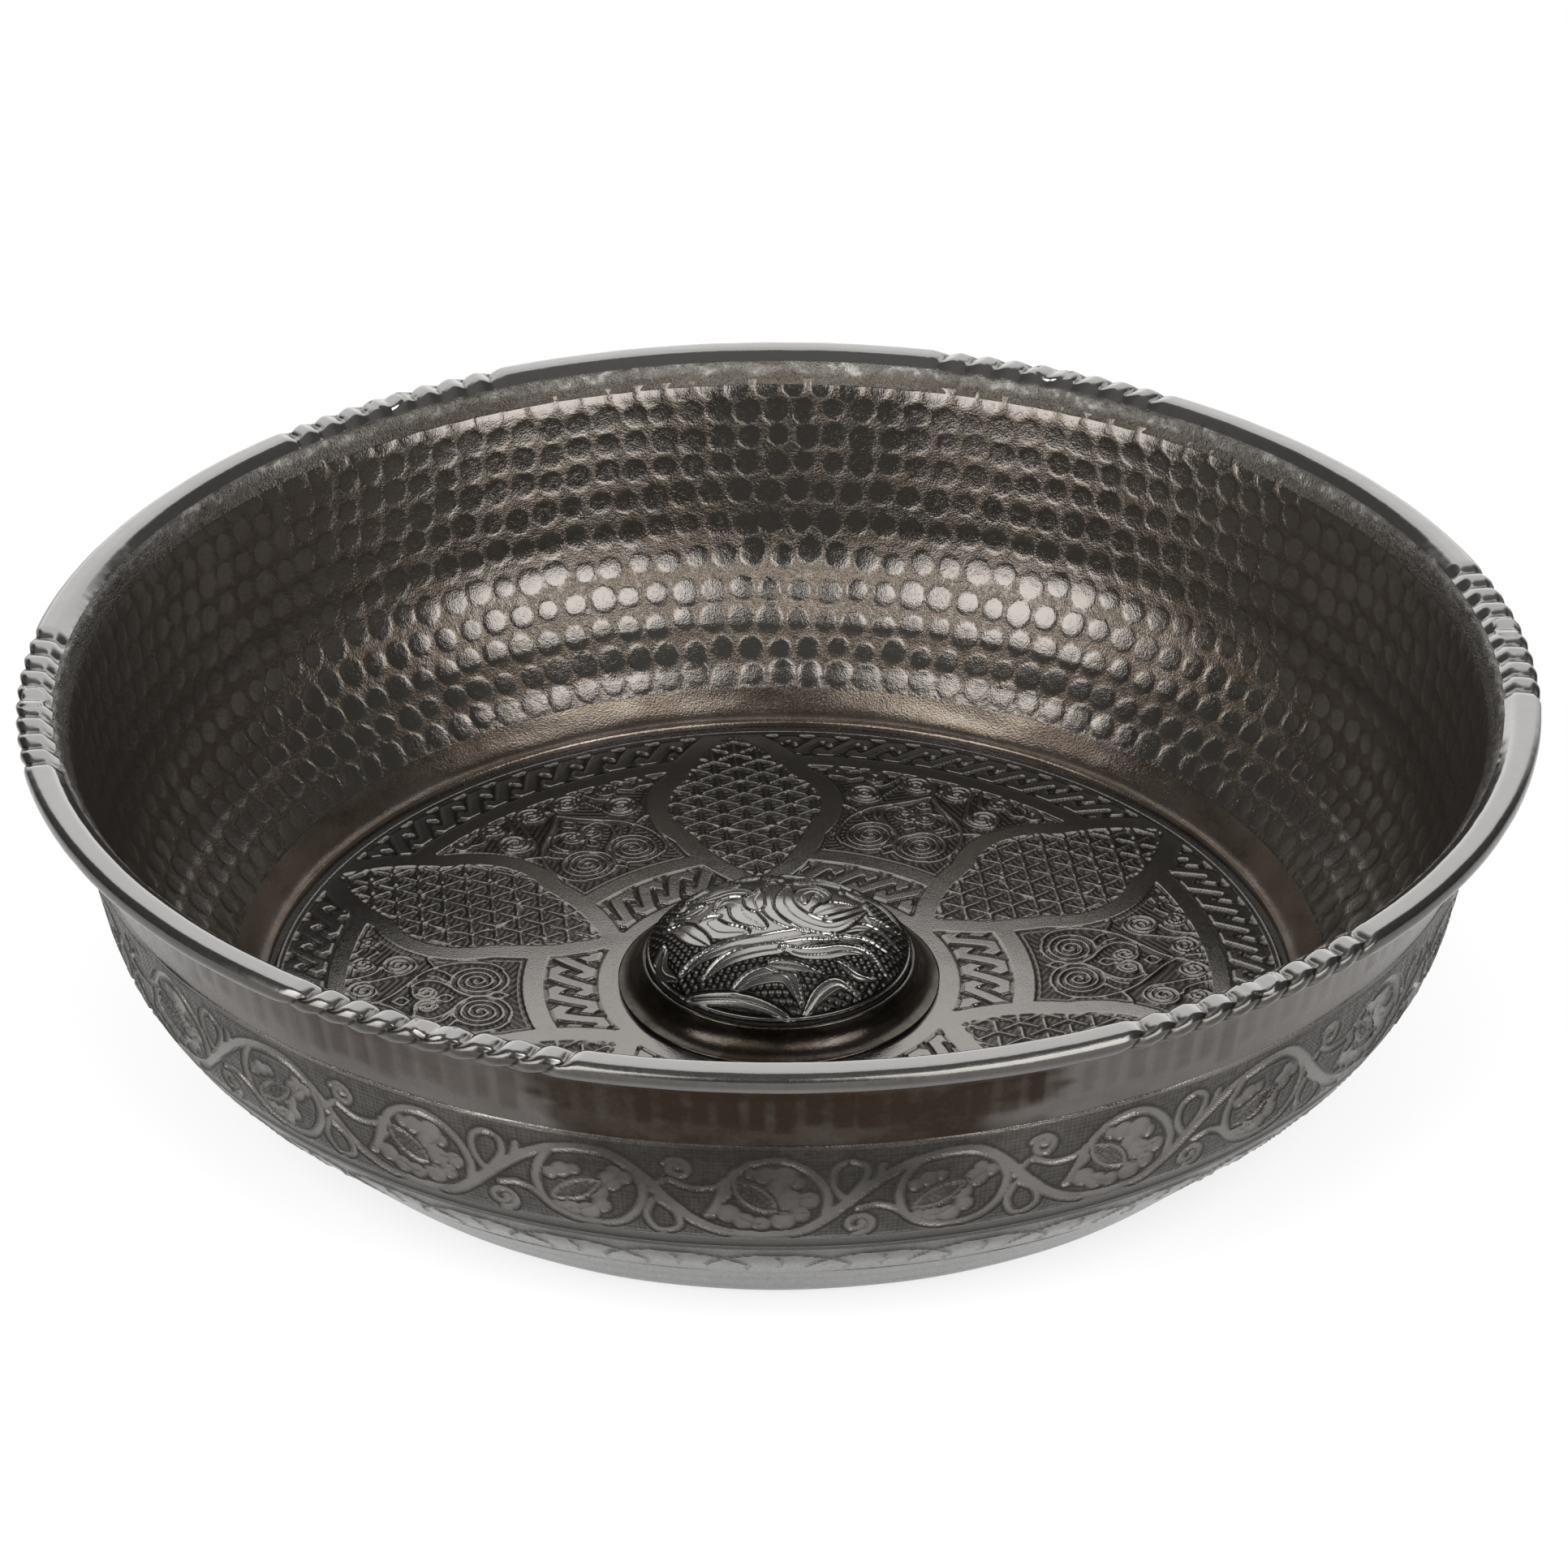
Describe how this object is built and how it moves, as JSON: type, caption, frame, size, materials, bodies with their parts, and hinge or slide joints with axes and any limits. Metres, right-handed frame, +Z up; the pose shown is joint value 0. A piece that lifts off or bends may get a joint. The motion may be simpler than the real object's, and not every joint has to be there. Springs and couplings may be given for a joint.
{
  "type": "hammam bowl",
  "caption": "Shallow round metal hammam bowl for pouring water, with a flared lip and wired rolled rim, rope-twist grips, a rosette floor disc and a raised central boss.",
  "frame": {"origin": "middle of the flat resting face under the bowl", "axes": "+Z up along the bowl's axis, +X to the right in the picture, +Y away from the viewer"},
  "size_m": [0.2, 0.2, 0.0523],
  "materials": {
    "shell_metal": "hammered and engraved, satin antique patina, darker in the hollows",
    "wire_metal": "drawn wire, bright",
    "plain_metal": "smooth, satin gloss",
    "engraved_metal": "engraved, dark patina in the ground, worn bright on the ridges"
  },
  "bodies": {
    "root": {"bowl_shell": "shell_metal", "rim_wire": "wire_metal", "floor_ring": "plain_metal", "floor_medallion": "engraved_metal", "boss_collar": "plain_metal", "boss_cap": "engraved_metal"}
  },
  "joints": []
}
